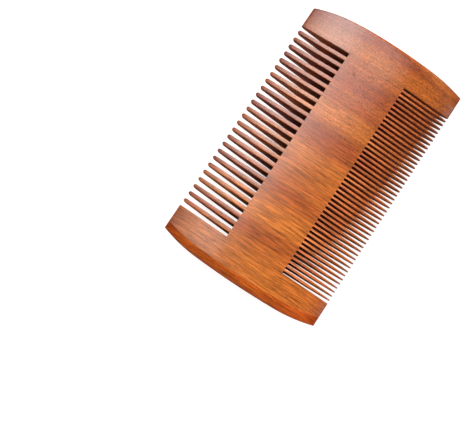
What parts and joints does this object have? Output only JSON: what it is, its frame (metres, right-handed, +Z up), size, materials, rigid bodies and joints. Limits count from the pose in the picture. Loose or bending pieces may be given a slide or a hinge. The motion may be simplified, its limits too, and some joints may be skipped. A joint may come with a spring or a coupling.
{
  "type": "beard comb",
  "caption": "Flat two-sided wooden comb with bowed ends, coarse teeth along one long side and fine teeth along the other.",
  "frame": {"origin": "centre of the comb's footprint, on the plane of its lower flat face", "axes": "+X across the comb from the coarse teeth to the fine teeth, +Y along the comb, +Z up out of the upper flat face"},
  "size_m": [0.0574, 0.0948, 0.009],
  "materials": {
    "wood": "satin"
  },
  "bodies": {
    "root": {"spine": "wood", "upper_end_guard": "wood", "lower_end_guard": "wood", "coarse_teeth": "wood", "fine_teeth": "wood"}
  },
  "joints": []
}
